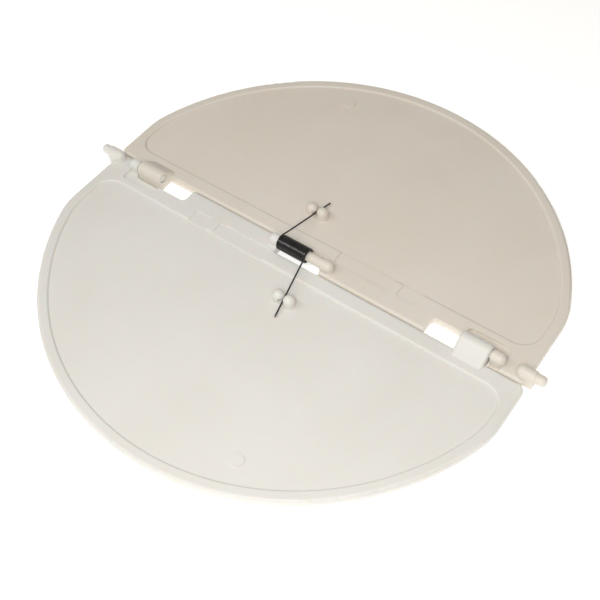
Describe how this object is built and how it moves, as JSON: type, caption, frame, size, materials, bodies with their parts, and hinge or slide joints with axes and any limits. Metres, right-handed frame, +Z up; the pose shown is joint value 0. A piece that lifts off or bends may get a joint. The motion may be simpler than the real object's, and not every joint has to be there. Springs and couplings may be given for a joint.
{
  "type": "non-return duct damper",
  "caption": "Round butterfly flap valve for a duct: half-disc flaps hinged on a diameter fold together with the airflow, and a torsion spring closes them flat.",
  "frame": {"origin": "midway along the hinge line, on the plane that the closed flaps lie on", "axes": "+X along the hinge line, towards the far flap's stub axle; +Y towards the far flap; +Z up, normal to the closed flaps, towards the side with the spring, which is the side they fold to"},
  "size_m": [0.1484, 0.146, 0.0063],
  "materials": {
    "flap_plastic": "ivory injection-moulded polypropylene, fine satin texture",
    "spring_wire": "blackened spring steel wire, oiled"
  },
  "bodies": {
    "near_flap": {"near_flap": "flap_plastic", "torsion_spring": "spring_wire"},
    "far_flap": {"far_flap": "flap_plastic"}
  },
  "joints": [
    {"name": "flap_hinge", "type": "hinge", "parent": "near_flap", "child": "far_flap", "pos_m": [0, 0, 0.004], "axis": [1, 0, 0], "range_deg": [0, 165], "stiffness_Nm_per_rad": 0.0015, "springref_deg": -20.05, "deforming": ["torsion_spring"]}
  ]
}
